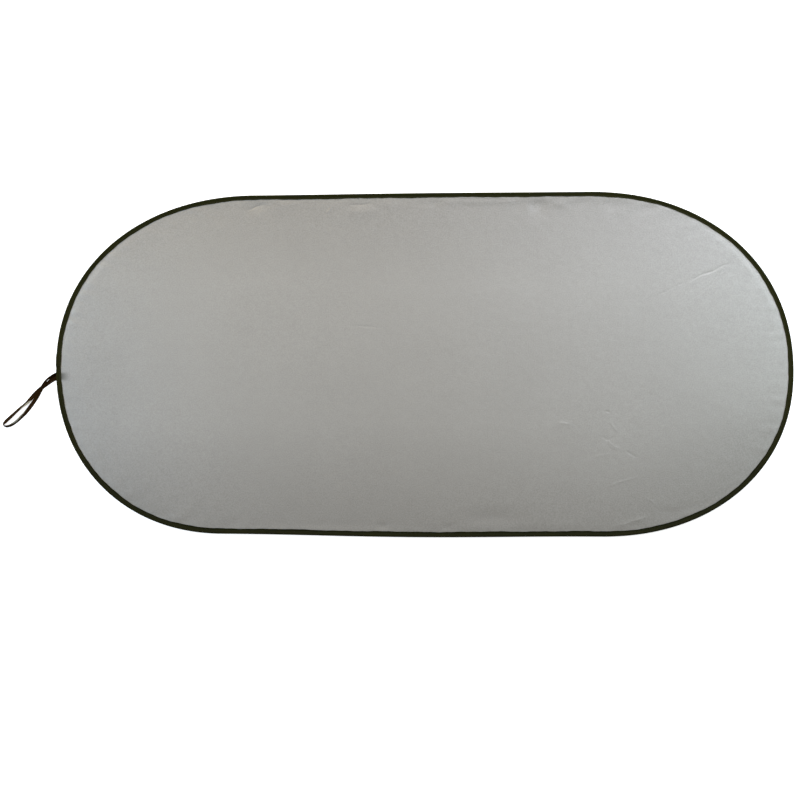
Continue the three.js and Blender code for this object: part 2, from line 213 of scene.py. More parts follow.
right_top = end_curve(REACH["right_top"], RIGHT_TIP_DROP, 0.0, 1, 1)
left_top = end_curve(REACH["left_top"], LEFT_TIP_DROP, TOP_NARROWING, -1, 1)[::-1]
left_bottom = end_curve(REACH["left_bottom"], LEFT_TIP_DROP, BOTTOM_NARROWING, -1, -1)
right_bottom = end_curve(REACH["right_bottom"], RIGHT_TIP_DROP, 0.0, 1, -1)[::-1]
rim = np.concatenate([
    right_top,
    long_side(right_top[-1], left_top[0], TOP_BOW),
    left_top,
    left_bottom[1:],
    long_side(left_bottom[-1], right_bottom[0], -BOTTOM_BOW),
    right_bottom,
])
tape_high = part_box("edge_tape")[1]
middle = np.array([tape_high.x - SHADE_LENGTH / 2, tape_high.y - rim[:, 1].max()])
rim += middle
steps = np.linalg.norm(np.diff(rim, axis=0), axis=1)
keep = np.concatenate([[True], steps > 1e-7])
rim = rim[keep]
rim_distance = np.concatenate([[0.0], np.cumsum(np.linalg.norm(np.diff(rim, axis=0), axis=1))])
RIM_LENGTH = rim_distance[-1]
ahead = np.gradient(rim, rim_distance, axis=0)
inwards = np.stack([-ahead[:, 1], ahead[:, 0]], axis=1)
inwards /= np.linalg.norm(inwards, axis=1)[:, None]


def lift(x, y, inset):
    """How far the rim rides up where the loop's ends are sewn under it."""
    away = np.clip(np.abs(y - middle[1] + LOOP_BELOW_MIDDLE) / RIM_LIFT_RUN, 0, 1)
    deep = np.clip((inset - PANEL_SHOWS) / (RIM_LIFT_RUN - PANEL_SHOWS), 0, 1)
    fade = 1 - deep * deep * (3 - 2 * deep)
    return np.where(x < middle[0], RIM_LIFT * np.cos(away * math.pi / 2) ** 2 * fade, 0.0)


def on_rim(distance, inset, height):
    """Points by their distance along the rim from its right tip, inset, and height over its middle."""
    distance = np.mod(distance, RIM_LENGTH)
    flat = [np.interp(distance, rim_distance, rim[:, axis]) for axis in (0, 1)]
    normal = [np.interp(distance, rim_distance, inwards[:, axis]) for axis in (0, 1)]
    x = flat[0] + inset * normal[0]
    y = flat[1] + inset * normal[1]
    return np.stack([x, y, RIM_HEIGHT / 2 + lift(x, y, inset) + height], axis=-1)


def shaped_grid(name, columns, rows, place):
    """A grid whose vertices go where place puts them, given their column and row from 0 to 1."""
    bpy.ops.object.select_all(action="DESELECT")
    bpy.ops.mesh.primitive_grid_add(x_subdivisions=columns, y_subdivisions=rows, size=1)
    piece = bpy.context.object
    piece.name = piece.data.name = name
    spots = np.empty(len(piece.data.vertices) * 3)
    piece.data.vertices.foreach_get("co", spots)
    spots = spots.reshape(-1, 3) + 0.5
    piece.data.vertices.foreach_set("co", place(spots[:, 0], spots[:, 1]).ravel())
    piece.data.update()
    return piece


def side_of_panel(low, high, share):
    """One side of the panel's own edge: the stretch of the rim between two distances."""
    return on_rim(low + (high - low) * share, PANEL_INSET, 0.0)[:, :2]


def panel_plan(column, row):
    """The oval as a patch between four stretches of its edge, so that its threads run evenly."""
    short = PANEL_END_SHARE * RIM_LENGTH
    long = RIM_LENGTH / 2 - short
    corner = [-short / 2, short / 2, short / 2 + long, short * 1.5 + long]
    right = side_of_panel(corner[0], corner[1], row)
    top = side_of_panel(corner[2], corner[1], column)
    left = side_of_panel(corner[3], corner[2], row)
    bottom = side_of_panel(corner[3], corner[0] + RIM_LENGTH, column)
    ends = [side_of_panel(spot, spot, np.zeros(1)) for spot in corner]
    u, v = column[:, None], row[:, None]
    sides = (1 - v) * bottom + v * top + (1 - u) * left + u * right
    right_corners = u * (1 - v) * ends[0] + u * v * ends[1]
    left_corners = (1 - u) * v * ends[2] + (1 - u) * (1 - v) * ends[3]
    return sides - right_corners - left_corners


def inset_of(x, y):
    """How far each point lies from the rim."""
    every = rim[::6]
    nearest = [np.min(np.hypot(every[:, 0] - px, every[:, 1] - py)) for px, py in zip(x, y)]
    return np.array(nearest)


# Folds that lie along a line: from where to where, how wide, and how high, or how deep below zero
FOLDS = [
    ((-0.314, 0.309), (-0.238, 0.340), 0.0085, -0.0009),
    ((-0.262, 0.326), (-0.190, 0.331), 0.0080, 0.0006),
    ((-0.116, 0.3215), (-0.036, 0.3245), 0.0065, -0.0007),
    ((-0.120, 0.309), (-0.030, 0.312), 0.0120, 0.0006),
    ((0.030, 0.3265), (0.092, 0.3290), 0.0070, -0.0005),
    ((0.088, 0.3325), (0.190, 0.3325), 0.0045, 0.0011),
    ((0.150, 0.3325), (0.262, 0.3325), 0.0045, 0.0010),
    ((0.264, 0.3250), (0.306, 0.3270), 0.0105, -0.0009),
    ((0.262, 0.3120), (0.308, 0.3130), 0.0140, -0.0006),
    ((0.308, 0.3275), (0.348, 0.3270), 0.0070, 0.0009),
    ((0.415, 0.3240), (0.428, 0.3375), 0.0028, -0.0007),
    ((0.430, 0.3120), (0.445, 0.3280), 0.0032, -0.0005),
    ((0.430, 0.2920), (0.445, 0.3070), 0.0032, -0.0005),
    ((0.310, -0.1210), (0.360, -0.1205), 0.0040, 0.0004),
    ((0.436, -0.3335), (0.514, -0.3080), 0.0060, 0.0005),
    ((0.520, -0.3040), (0.600, -0.2930), 0.0080, -0.0005),
    ((0.110, -0.3100), (0.270, -0.3140), 0.0160, -0.0012),
    ((-0.046, -0.3290), (-0.018, -0.3305), 0.0060, -0.0010),
    ((0.088, -0.3315), (0.116, -0.3330), 0.0050, -0.0009),
    ((0.196, -0.3330), (0.216, -0.3330), 0.0035, -0.0007),
    ((0.228, -0.3365), (0.278, -0.3375), 0.0040, -0.0011),
]


def fold_height(x, y, first, last, width, height):
    run = np.hypot(last[0] - first[0], last[1] - first[1])
    cosine, sine = (last[0] - first[0]) / run, (last[1] - first[1]) / run
    along = ((x - first[0]) * cosine + (y - first[1]) * sine) / run
    across = (y - first[1]) * cosine - (x - first[0]) * sine
    ends = np.clip(4 * along * (1 - along), 0, 1) ** 1.5
    return height * ends * np.exp(-((across / width) ** 2))


def panel_height(x, y, inset):
    """The panel's height over its own plane: its sag, its long soft waves, its puckers and its folds."""
    clear = np.clip(inset - PANEL_SHOWS, 0, None)
    flat_x, flat_y = (x - middle[0]) / (SHADE_LENGTH / 2), (y - middle[1]) / (SHADE_WIDTH / 2)
    round_rim = np.arctan2(flat_y, flat_x)
    sag = -PANEL_SAG * np.clip((1 - flat_x**2) * (1 - flat_y**2), 0, 1)
    waves = 0.0004 * np.sin(9.1 * x + 3.7 * y + 0.6) + 0.0003 * np.sin(-4.3 * x + 14.2 * y + 1.9)
    gather = np.sin(71 * round_rim + 2.3 * np.sin(5 * round_rim)) + 0.7 * np.sin(113 * round_rim + 1.1)
    gather *= 0.55 + 0.45 * np.sin(7 * round_rim + 0.8) * np.sin(3 * round_rim - 0.4)
    pull = clear / PUCKER_RUN
    puckers = PUCKER_RISE * gather * pull * np.exp(1 - pull)
    folds = sum(fold_height(x, y, *fold) for fold in FOLDS)
    settle = np.clip(clear / SETTLE_RUN, 0, 1)
    settle = settle * settle * (3 - 2 * settle)
    return (sag + waves + folds) * settle + puckers


def panel_place(column, row):
    plan = panel_plan(column, row)
    x, y = plan[:, 0], plan[:, 1]
    inset = inset_of(x, y)
    height = RIM_HEIGHT / 2 + lift(x, y, inset) + panel_height(x, y, inset)
    return np.stack([x, y, height], axis=1)


panel = shaped_grid("silver_panel", PANEL_COLUMNS, PANEL_ROWS, panel_place)
thickness = panel.modifiers.new("cloth_thickness", "SOLIDIFY")
thickness.thickness = PANEL_THICKNESS
thickness.offset = 0.0
thickness.material_offset = 1
thickness.material_offset_rim = 1
bpy.ops.object.modifier_apply(modifier=thickness.name)
bpy.ops.object.shade_smooth()

# Hairline creases, left by folding: from where to where, how wide and how deep
CREASES = [
    ((0.590, 0.170), (0.680, 0.208), 0.0022, 0.00034),
    ((0.470, 0.116), (0.640, 0.192), 0.0024, 0.00012),
    ((0.612, 0.135), (0.675, 0.207), 0.0022, 0.00026),
    ((-0.098, 0.080), (-0.026, 0.074), 0.0020, 0.00020),
    ((0.325, -0.1200), (0.352, -0.1200), 0.0024, -0.00028),
    ((0.418, -0.0950), (0.433, -0.0965), 0.0022, 0.00030),
    ((0.430, -0.1160), (0.449, -0.1410), 0.0022, -0.00024),
    ((0.412, -0.1460), (0.430, -0.1560), 0.0022, 0.00024),
    ((0.422, -0.1545), (0.445, -0.1460), 0.0022, 0.00020),
    ((0.423, -0.1530), (0.454, -0.1735), 0.0022, -0.00024),
    ((0.426, -0.1600), (0.450, -0.1750), 0.0022, -0.00018),
    ((0.460, -0.1745), (0.489, -0.1895), 0.0024, 0.00027),
    ((0.394, -0.1915), (0.434, -0.1805), 0.0024, -0.00015),
    ((0.422, -0.2490), (0.490, -0.2280), 0.0024, -0.00028),
    ((0.506, -0.2720), (0.525, -0.2850), 0.0022, -0.00022),
    ((0.440, -0.3320), (0.511, -0.3085), 0.0024, -0.00024),
    ((-0.147, 0.3075), (-0.135, 0.3215), 0.0024, -0.00042),
    ((0.416, 0.3250), (0.427, 0.3365), 0.0024, -0.00050),
    ((0.432, 0.2935), (0.443, 0.3055), 0.0024, -0.00030),
    ((-0.104, 0.3235), (-0.050, 0.3260), 0.0026, 0.00034),
    ((0.100, 0.3385), (0.235, 0.3390), 0.0020, -0.00034),
    ((-0.310, 0.3115), (-0.268, 0.3290), 0.0024, 0.00040),
]
CREASE_WANDER = 0.008
WEAVE_PITCH = 0.00045
silver, silver_shader, start = new_finish("silver_coating", {"IOR": 1.45})
panel_spot = start.node("TexCoord", output=3)
across_x, across_y = panel_spot.parts()
wander = start.node("TexNoise", {}, {"Vector": panel_spot, "Scale": 45.0, "Detail": 2.0}) - 0.5
creased = 0.0
for first, last, width, depth in CREASES:
    run = math.hypot(last[0] - first[0], last[1] - first[1])
    cosine, sine = (last[0] - first[0]) / run, (last[1] - first[1]) / run
    offset_x, offset_y = across_x - first[0], across_y - first[1]
    along = (offset_x * cosine + offset_y * sine) / run
    across = offset_y * cosine - offset_x * sine + wander * CREASE_WANDER
    ends = (along * (1 - along) * 4).at_least(0.0)
    creased = creased - ends * math.e ** ((across / width) * (across / width) * -1) * depth
threads_x = start.math("SINE", across_x * (2 * math.pi / WEAVE_PITCH))
threads_y = start.math("SINE", across_y * (2 * math.pi / WEAVE_PITCH))
weave = threads_x * threads_y * 0.00002
crinkle_sockets = {"Vector": panel_spot, "Scale": 70.0, "Detail": 4.0, "Roughness": 0.6}
grain_sockets = {"Vector": panel_spot, "Scale": 420.0, "Detail": 3.0, "Roughness": 0.7}
crinkle = start.node("TexNoise", {}, crinkle_sockets)
grain = start.node("TexNoise", {}, grain_sockets)
cloud = start.node("TexNoise", {}, {"Vector": panel_spot, "Scale": 9.0, "Detail": 2.0})
relief = creased + weave + crinkle * 0.00035 + grain * 0.00008
feed(silver_shader, "Normal", start.node("Bump", {}, {"Height": relief, "Distance": 1.0}))

# The loop's two sewn ends show through the cloth as a soft grey patch that fades inwards from the tape
PATCH_START = 0.718
PATCH_RUN = 0.020
PATCH_HALF_WIDTH = 0.008
ends_x = ((across_x * -1 + (middle[0] - PATCH_START)) / PATCH_RUN).at_least(0.0)
ends_y = (across_y + (LOOP_BELOW_MIDDLE - middle[1])) / PATCH_HALF_WIDTH
show_through = ends_x.at_most(1.0) ** 1.4 * math.e ** (ends_y * ends_y * ends_y * ends_y * -1)

# Painted shade: the coating's colour is painted darker towards the rim, most along the lower side
lower_rim = ((across_y * -1 - 0.12) / 0.23).at_least(0.0)
upper_rim = ((across_y - 0.16) / 0.19).at_least(0.0)
left_rim = ((across_x * -1 - 0.42) / 0.28).at_least(0.0)
right_end = ((across_x - 0.45) / 0.30).at_least(0.0)
below_tip = ((across_y * -1 - 0.03) / 0.10).at_least(0.0).at_most(1.0)
painted_rim_shade = lower_rim * 0.36 + upper_rim * 0.28 + left_rim * 0.18 + right_end * below_tip * 0.20
tone = grain * 0.95 + cloud * 0.10 + crinkle * 0.14 - painted_rim_shade - 0.08
coating = mixed(start, tone, (0.26, 0.255, 0.245), (0.48, 0.475, 0.465))
feed(silver_shader, "Base Color", mixed(start, show_through * 0.9, coating, (0.09, 0.088, 0.078)))
feed(silver_shader, "Metallic", 0.55 - show_through * 0.2)
feed(silver_shader, "Roughness", grain * 0.14 + 0.42)

# The back of the cloth has no coating
plain, plain_shader, start = new_finish("uncoated_back", {"Metallic": 0.1, "Sheen Weight": 0.15})
back_spot = start.node("TexCoord", output=3)
fibres = start.node("TexNoise", {}, {"Vector": back_spot, "Scale": 500.0, "Detail": 3.0})
shade_cloud = start.node("TexNoise", {}, {"Vector": back_spot, "Scale": 12.0, "Detail": 2.0})
back_tone = fibres * 0.5 + shade_cloud * 0.4
feed(plain_shader, "Base Color", mixed(start, back_tone, (0.36, 0.36, 0.37), (0.50, 0.50, 0.50)))
feed(plain_shader, "Roughness", fibres * 0.15 + 0.6)
feed(plain_shader, "Normal", start.node("Bump", {}, {"Height": fibres * 0.0001, "Distance": 1.0}))
panel.data.materials.append(silver)
panel.data.materials.append(plain)
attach(panel, "root")
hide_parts("cloth_panel")


# The edge tape: one length of ribbed polyester tape, folded lengthways round the hoop and laid flat on
# both faces of the panel. It was fed through a folder at the sewing machine, so it wanders a little,
# and its last end laps over its first just above the loop.

TAPE_FACE = 0.0103
TAPE_DRIFT = 0.0009
TAPE_THICKNESS = 0.0006
LAP_LOW = -0.005
LAP_HIGH = 0.020
LAP_STEP = 0.0005
TAPE_STATIONS = 801
RIB_PITCH = 0.0013
PICKS_ROUND_TAPE = 48
FLAT_FROM = 0.0053
NOSE_DEPTH = 0.0012

# The fold in section, from its nose to the tape's edge: inset and height of its outer and inner wall
OUTER_WALL = [
    (0.00000, 0.00000), (0.00010, 0.00110), (0.00040, 0.00205), (0.00105, 0.00280), (0.00205, 0.00310),
    (0.00320, 0.00296), (0.00430, 0.00232), (0.00530, 0.00162), (0.00640, 0.00118), (0.00740, 0.00097),
    (0.00840, 0.00112), (0.00940, 0.00110),
]
INNER_WALL = [
    (0.00058, 0.00000), (0.00066, 0.00105), (0.00092, 0.00172), (0.00145, 0.00226), (0.00212, 0.00252),
    (0.00320, 0.00240), (0.00395, 0.00190), (0.00480, 0.00118), (0.00600, 0.00062), (0.00740, 0.00042),
    (0.00840, 0.00052), (0.00940, 0.00050),
]


def rim_distance_at(y):
    """How far along the rim its left end passes a given height over the middle."""
    left = rim[:, 0] < middle[0] - SHADE_LENGTH / 4
    order = np.argsort(rim[left, 1])
    return float(np.interp(y + middle[1], rim[left, 1][order], rim_distance[left][order]))


lap_ends = sorted([rim_distance_at(LAP_LOW), rim_distance_at(LAP_HIGH)])
tape_stops = np.linspace(0.0, RIM_LENGTH, TAPE_STATIONS)
lap_stops = [lap_ends[0] - LAP_STEP, lap_ends[0], lap_ends[1], lap_ends[1] + LAP_STEP]
tape_stops = np.sort(np.concatenate([tape_stops, lap_stops]))


def tape_ring():
    """The tape's section all the way round: the side (1 on the upper face, -1 on the lower), the inset,
    the height, and whether it is the outer wall."""
    outer = [(-1, i, -h, 1) for i, h in reversed(OUTER_WALL[1:])] + [(1, i, h, 1) for i, h in OUTER_WALL]
    inner = [(1, i, h, 0) for i, h in reversed(INNER_WALL)] + [(-1, i, -h, 0) for i, h in INNER_WALL[1:]]
    return np.array(outer + inner + outer[:1])


tape_section = tape_ring()


def tape_place(column, row):
    stop = np.interp(column * (len(tape_stops) - 1), np.arange(len(tape_stops)), tape_stops)
    spot = np.rint(row * (len(tape_section) - 1)).astype(int)
    side, inset, height, wall = tape_section[spot].T
    y = (on_rim(stop, 0.0, 0.0)[:, 1] - middle[1]) / (SHADE_WIDTH / 2)
    turn = stop / RIM_LENGTH * 2 * math.pi
    wander = 0.0003 * np.sin(47 * turn) + 0.0002 * np.sin(131 * turn + side)
    wander += 0.0004 * np.sin(19 * turn + 2 * side)
    face = TAPE_FACE - side * TAPE_DRIFT * y + wander
    beyond = np.clip((inset - FLAT_FROM) / (OUTER_WALL[-1][0] - FLAT_FROM), 0, 1)
    inset = inset + beyond * (face - OUTER_WALL[-1][0])
    into_lap = np.clip((stop - lap_stops[0]) / LAP_STEP, 0, 1)
    out_of_lap = np.clip((lap_stops[3] - stop) / LAP_STEP, 0, 1)
    swell = into_lap * out_of_lap * wall * TAPE_THICKNESS
    nose = np.clip(1 - inset / NOSE_DEPTH, 0, 1)
    height = height + np.sign(height) * swell * (1 - nose)
    ripple = 0.00007 * np.sin(311 * turn + 3 * side) * beyond * wall
    return on_rim(stop, inset - nose * swell, height + side * ripple)


def close_seams(piece):
    """Joins the first and last columns and rows of a grid that meet, and turns its faces outwards."""
    bpy.ops.object.select_all(action="DESELECT")
    piece.select_set(True)
    bpy.context.view_layer.objects.active = piece
    bpy.ops.object.mode_set(mode="EDIT")
    bpy.ops.mesh.select_all(action="SELECT")
    bpy.ops.mesh.remove_doubles(threshold=0.000002)
    bpy.ops.mesh.normals_make_consistent(inside=False)
    bpy.ops.object.mode_set(mode="OBJECT")


tape = shaped_grid("folded_edge_tape", len(tape_stops) - 1, len(tape_section) - 1, tape_place)
for corner in tape.data.uv_layers.active.data:
    number = corner.uv.x * (len(tape_stops) - 1)
    corner.uv.x = float(np.interp(number, np.arange(len(tape_stops)), tape_stops))
close_seams(tape)
bpy.ops.object.shade_smooth_by_angle(angle=math.radians(50))

ribbed, ribbed_shader, start = new_finish("ribbed_tape", {"Specular IOR Level": 0.10, "Sheen Weight": 0.024})
along_tape, around_tape = start.node("TexCoord", output=2).parts()
ribs = start.math("SINE", along_tape * (2 * math.pi / RIB_PITCH))
picks = start.math("SINE", around_tape * (2 * math.pi * PICKS_ROUND_TAPE))
tape_spot = start.node("TexCoord", output=3)
fuzz = start.node("TexNoise", {}, {"Vector": tape_spot, "Scale": 900.0, "Detail": 3.0})
wear = start.node("TexNoise", {}, {"Vector": tape_spot, "Scale": 30.0, "Detail": 3.0})
tape_relief = ribs * 0.00004 + picks * 0.00001 + fuzz * 0.00006
feed(ribbed_shader, "Normal", start.node("Bump", {}, {"Height": tape_relief, "Distance": 1.0}))
tape_y = tape_spot.parts()[1]
# Painted shade: the tape is painted darker along the lower half of the oval, most along its lower side
painted_shade_below = (tape_y * -4).at_least(0.0).at_most(1.0)
tape_tone = ribs * 0.12 + fuzz * 0.35 + wear * 0.45 - painted_shade_below * 0.3
tape_colour = mixed(start, tape_tone, (0.006, 0.0065, 0.0003), (0.024, 0.0245, 0.003))
feed(ribbed_shader, "Base Color", tape_colour)
feed(ribbed_shader, "Roughness", fuzz * 0.12 + 0.78)
tape.data.materials.append(ribbed)
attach(tape, "root")
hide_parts("edge_tape")


# The seam: a lockstitch all the way round, 3.6 mm to the stitch, that goes through the tape, the panel
# and the tape again. The needle thread shows on the front and the bobbin thread on the back, each
# stitch drawn down into the tape at both of its ends.

SEAM_INSET = 0.0074
STITCH_PITCH = 0.0036
STITCH_LENGTH = 0.0031
THREAD_WIDTH = 0.00042
STITCH_HEIGHT = 0.00108
DRAWN_DOWN = 0.00022

bpy.ops.object.select_all(action="DESELECT")
bpy.ops.mesh.primitive_uv_sphere_add(segments=6, ring_count=6, radius=0.5)
one_stitch = bpy.context.object
stitch_corners = np.array([tuple(vertex.co) for vertex in one_stitch.data.vertices])
stitch_faces = [tuple(face.vertices) for face in one_stitch.data.polygons]
bpy.data.objects.remove(one_stitch)
stitch_along = stitch_corners[:, 2] * STITCH_LENGTH
stitch_aside = stitch_corners[:, 0] * THREAD_WIDTH
stitch_raised = stitch_corners[:, 1] * THREAD_WIDTH - DRAWN_DOWN * (2 * stitch_corners[:, 2]) ** 4


def sewn(name, stops, insets, aslant, side):
    """A row of stitches: how far along the rim each lies, how far in, and how far it turns from the row."""
    spots, faces = [], []
    for number, (stop, inset, slant) in enumerate(zip(stops, insets, aslant)):
        along = stitch_along * math.cos(slant) - stitch_aside * math.sin(slant)
        inwards_by = stitch_along * math.sin(slant) + stitch_aside * math.cos(slant)
        lapped = lap_stops[0] < stop < lap_stops[3]
        height = STITCH_HEIGHT + TAPE_THICKNESS * lapped + stitch_raised
        spots.append(on_rim(stop + along, inset + inwards_by, side * height))
        before = number * len(stitch_corners)
        faces += [tuple(corner + before for corner in face) for face in stitch_faces]
    mesh = bpy.data.meshes.new(name)
    mesh.from_pydata(np.concatenate(spots).tolist(), [], faces)
    row = bpy.data.objects.new(name, mesh)
    bpy.context.collection.objects.link(row)
    close_seams(row)
    bpy.ops.object.shade_smooth()
    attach(row, "root")
    return row


thread_look = {"Specular IOR Level": 0.25, "Sheen Weight": 0.05}
thread, thread_shader, start = new_finish("twisted_thread", thread_look)
thread_spot = start.node("TexCoord", output=3)
ply_sockets = {"Vector": thread_spot, "Scale": 900.0, "Distortion": 1.0}
plies = start.node("TexWave", {"bands_direction": "DIAGONAL"}, ply_sockets)
lint = start.node("TexNoise", {}, {"Vector": thread_spot, "Scale": 1500.0, "Detail": 2.0})
feed(thread_shader, "Base Color", mixed(start, lint, (0.010, 0.010, 0.005), (0.028, 0.027, 0.016)))
feed(thread_shader, "Roughness", lint * 0.2 + 0.5)
feed(thread_shader, "Normal", start.node("Bump", {}, {"Height": plies * 0.00004, "Distance": 1.0}))

stitch_count = round(RIM_LENGTH / STITCH_PITCH)
seam_stops = np.arange(stitch_count) * RIM_LENGTH / stitch_count
seam_insets = SEAM_INSET + 0.00015 * np.sin(seam_stops * 23) + 0.0001 * np.sin(seam_stops * 61)
slants = 0.05 + 0.03 * np.sin(seam_stops * 911)
needle_stitches = sewn("needle_stitches", seam_stops, seam_insets, slants, 1)
needle_stitches.data.materials.append(thread)
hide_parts("seam_thread_front")
bobbin_stitches = sewn("bobbin_stitches", seam_stops + STITCH_PITCH / 2, seam_insets, -slants, -1)
bobbin_stitches.data.materials.append(thread)
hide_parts("seam_thread_back")


# The closing loop: one band of flat woven elastic, dark brown. Along its inner edge at the turns it is
# painted pale grey, a painted shade that stands in for the shade beside the band there. Both ends are sewn
# under the rim, and it lies as it fell: out from the rim, leaning on its outer edge at the far end, and home
# across its own first stretch.

ELASTIC_WIDTH = 0.0080
ELASTIC_THICKNESS = 0.0010
ELASTIC_RIBS = 5
ELASTIC_SPACING = 0.0004
SEWN_ENDS = [
    (0.024, 0.0026), (0.0156, 0.0026), (0.0116, 0.00125), (0.0071, 0.00125), (0.0035, 0.0001), (0.0, 0.0),
]
ELASTIC_ROUTE = [
    (-0.0045, -0.0053, 0, 0),
    (-0.0096, -0.0083, 0, 0),
    (-0.0179, -0.0142, 0, 0),
    (-0.0266, -0.0203, 0, 0),
    (-0.0371, -0.0289, 0, 0),
    (-0.0467, -0.0385, 0, 0),
    (-0.0511, -0.0439, 3, 0),
    (-0.0554, -0.0486, 12, 0),
    (-0.0602, -0.054, 28, 0),
    (-0.0657, -0.0583, 42, 0),
    (-0.0717, -0.0629, 44, 0),
    (-0.0786, -0.0689, 42, 0),
    (-0.0865, -0.0763, 38, 0),
    (-0.0948, -0.0839, 28, 0),
    (-0.1017, -0.0902, 30, 0),
    (-0.1049, -0.0937, 34, 0),
    (-0.1069, -0.0973, 57, 0),
    (-0.1056, -0.1004, 64, 0),
    (-0.1012, -0.1016, 58, 0),
    (-0.0944, -0.1, 52, 0),
    (-0.0869, -0.0958, 47, 0),
    (-0.0812, -0.0916, 48, 0),
    (-0.0763, -0.0873, 44, 0),
    (-0.071, -0.082, 36, 0),
    (-0.0652, -0.0764, 32, 0),
    (-0.0596, -0.0697, 22, 0),
    (-0.0533, -0.0615, 8, 0),
    (-0.0466, -0.052, 10, 0),
    (-0.0409, -0.0437, 18, 0.0004),
    (-0.0373, -0.0379, 24, 0.0008),
    (-0.0342, -0.032, 27, 0.0013),
    (-0.0312, -0.0268, 30, 0.0016),
    (-0.029, -0.0226, 38, 0.0017),
    (-0.0268, -0.0187, 48, 0.0017),
    (-0.0246, -0.0146, 56, 0.0016),
    (-0.0218, -0.0104, 62, 0.0013),
    (-0.0173, -0.0051, 66, 0.0003),
    (-0.0126, -0.002, 57, 0),
    (-0.008, 0.001, 52, 0),
    (-0.0036, 0.0032, 43, 0),
]
# Where the painted grey shade lies on the band: how far along the band, and how far round its section it
# reaches
PAINTED_SHADE_STRETCHES = [
    (0.256, 0), (0.274, 0.24), (0.295, 0.268), (0.315, 0.247), (0.336, 0.19), (0.362, 0), (0.501, 0),
    (0.521, 0.19), (0.545, 0.26), (0.566, 0.267), (0.584, 0.255), (0.606, 0.24), (0.629, 0.224),
    (0.654, 0.17), (0.683, 0),
]
beside = (ELASTIC_WIDTH + ELASTIC_SPACING) / 2
first_end = [(inset, -beside, 0, raised) for inset, raised in SEWN_ENDS]
last_end = [(inset, beside, 0, raised) for inset, raised in reversed(SEWN_ENDS)]
loop_stops = np.array(first_end + ELASTIC_ROUTE + last_end, float)
loop_root = on_rim(rim_distance_at(-LOOP_BELOW_MIDDLE), 0.0, 0.0)


def smooth_route(stops, shares):
    """Points at even shares along a smooth curve that runs through all the stops."""
    padded = np.vstack([2 * stops[0] - stops[1], stops, 2 * stops[-1] - stops[-2]])
    gaps = np.sqrt(np.linalg.norm(np.diff(padded[:, :2], axis=0), axis=1))
    knots = np.concatenate([[0.0], np.cumsum(np.maximum(gaps, 1e-4))])
    walk = np.linspace(knots[1], knots[-2], 1500)
    part = np.clip(np.searchsorted(knots, walk, side="right") - 1, 1, len(stops) - 1)
    p = [padded[part + k] for k in (-1, 0, 1, 2)]
    t = [knots[part + k][:, None] for k in (-1, 0, 1, 2)]
    w = walk[:, None]

    def between(first, last, low, high):
        return (high - w) / (high - low) * first + (w - low) / (high - low) * last

    a = [between(p[k], p[k + 1], t[k], t[k + 1]) for k in range(3)]
    b = [between(a[k], a[k + 1], t[k], t[k + 2]) for k in range(2)]
    line = between(b[0], b[1], t[1], t[2])
    run = np.concatenate([[0.0], np.cumsum(np.linalg.norm(np.diff(line[:, :2], axis=0), axis=1))])
    evenly = [np.interp(shares * run[-1], run, line[:, axis]) for axis in range(line.shape[1])]
    return np.stack(evenly, axis=1)


LOOP_COLUMNS = 420
LOOP_ROWS = 44
PRESSED_SHARE = 0.122
PRESSED_FADE = 0.016
PRESSED_WIDER = 0.28
loop_line = smooth_route(loop_stops, np.linspace(0, 1, LOOP_COLUMNS + 1))
loop_turn = np.radians(np.clip(loop_line[:, 2], 0, None))
stand = (ELASTIC_WIDTH * np.abs(np.sin(loop_turn)) + ELASTIC_THICKNESS * np.abs(np.cos(loop_turn))) / 2
loop_centre = np.stack([
    loop_root[0] + loop_line[:, 0],
    loop_root[1] + loop_line[:, 1],
    np.clip(loop_line[:, 3], 0, None) + stand,
], axis=1)
loop_ahead = np.gradient(loop_centre, axis=0)
loop_ahead /= np.linalg.norm(loop_ahead, axis=1)[:, None]
level = np.cross([0.0, 0.0, 1.0], loop_ahead)
level /= np.linalg.norm(level, axis=1)[:, None]
upright = np.cross(loop_ahead, level)
loop_across = level * np.cos(loop_turn)[:, None] + upright * np.sin(loop_turn)[:, None]
loop_through = np.cross(loop_ahead, loop_across)


def elastic_section(row):
    """The band's section: across and through, with a rib for each rubber core on both faces."""
    turn = row * 2 * math.pi
    across = np.sign(np.cos(turn)) * np.abs(np.cos(turn)) ** 0.45
    through = np.sign(np.sin(turn)) * np.abs(np.sin(turn)) ** 0.35
    ribs = 0.86 + 0.14 * np.cos(across * math.pi * ELASTIC_RIBS)
    return across * ELASTIC_WIDTH / 2, through * ribs * ELASTIC_THICKNESS / 2


def loop_place(column, row):
    """The band, which the seam presses wider on its inner side where it leaves the rim."""
    spot = np.rint(column * LOOP_COLUMNS).astype(int)
    across, through = elastic_section(row)
    pressed = np.clip((PRESSED_SHARE - spot / LOOP_COLUMNS) / PRESSED_FADE, 0, 1)
    across *= 1 + 0.02 * np.sin(spot * 2.1) + PRESSED_WIDER * pressed * (across < 0)
    return loop_centre[spot] + loop_across[spot] * across[:, None] + loop_through[spot] * through[:, None]


loop = shaped_grid("elastic_loop", LOOP_COLUMNS, LOOP_ROWS, loop_place)
close_seams(loop)
bpy.ops.object.mode_set(mode="EDIT")
bpy.ops.mesh.select_all(action="DESELECT")
bpy.ops.mesh.select_non_manifold()
bpy.ops.mesh.edge_face_add()
bpy.ops.mesh.select_all(action="SELECT")
bpy.ops.mesh.normals_make_consistent(inside=False)
bpy.ops.object.mode_set(mode="OBJECT")
bpy.ops.object.shade_smooth_by_angle(angle=math.radians(60))

